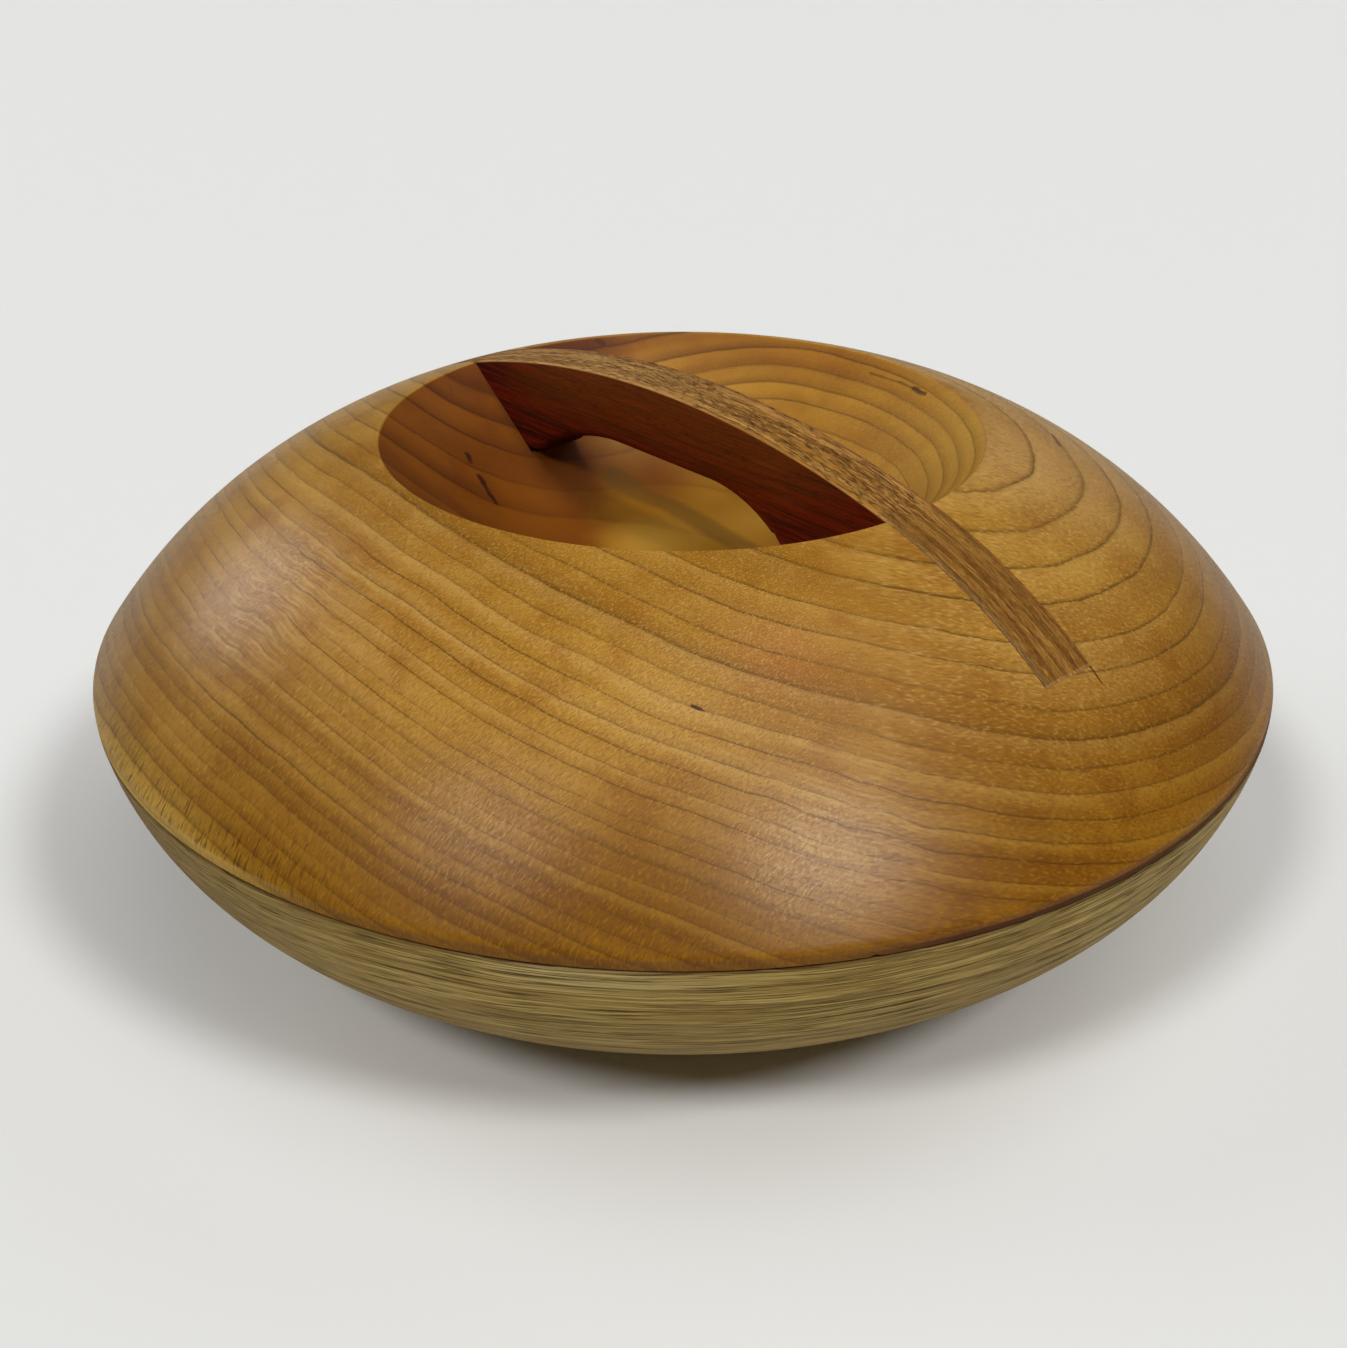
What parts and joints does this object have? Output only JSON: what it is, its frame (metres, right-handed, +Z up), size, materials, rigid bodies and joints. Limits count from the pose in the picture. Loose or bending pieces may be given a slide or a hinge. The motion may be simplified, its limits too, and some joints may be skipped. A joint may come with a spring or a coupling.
{
  "type": "lidded wooden bowl",
  "caption": "Round turned wooden bowl with a domed lid that lifts off; a bar handle let into the lid's rim crosses its dished recess.",
  "frame": {"origin": "middle of the foot's resting ring, on the table", "axes": "+Z up along the turning axis, +X along the handle"},
  "size_m": [0.25, 0.25, 0.1105],
  "materials": {
    "oak": "oiled, satin",
    "cherry": "oiled, satin",
    "mahogany": "oiled, satin"
  },
  "bodies": {
    "bowl": {"bowl": "oak"},
    "lid": {"lid": "cherry", "handle": "mahogany"}
  },
  "joints": [
    {"name": "lid_lift", "type": "slide", "parent": "bowl", "child": "lid", "axis": [0, 0, 1], "range_m": [0, 0.12]}
  ]
}
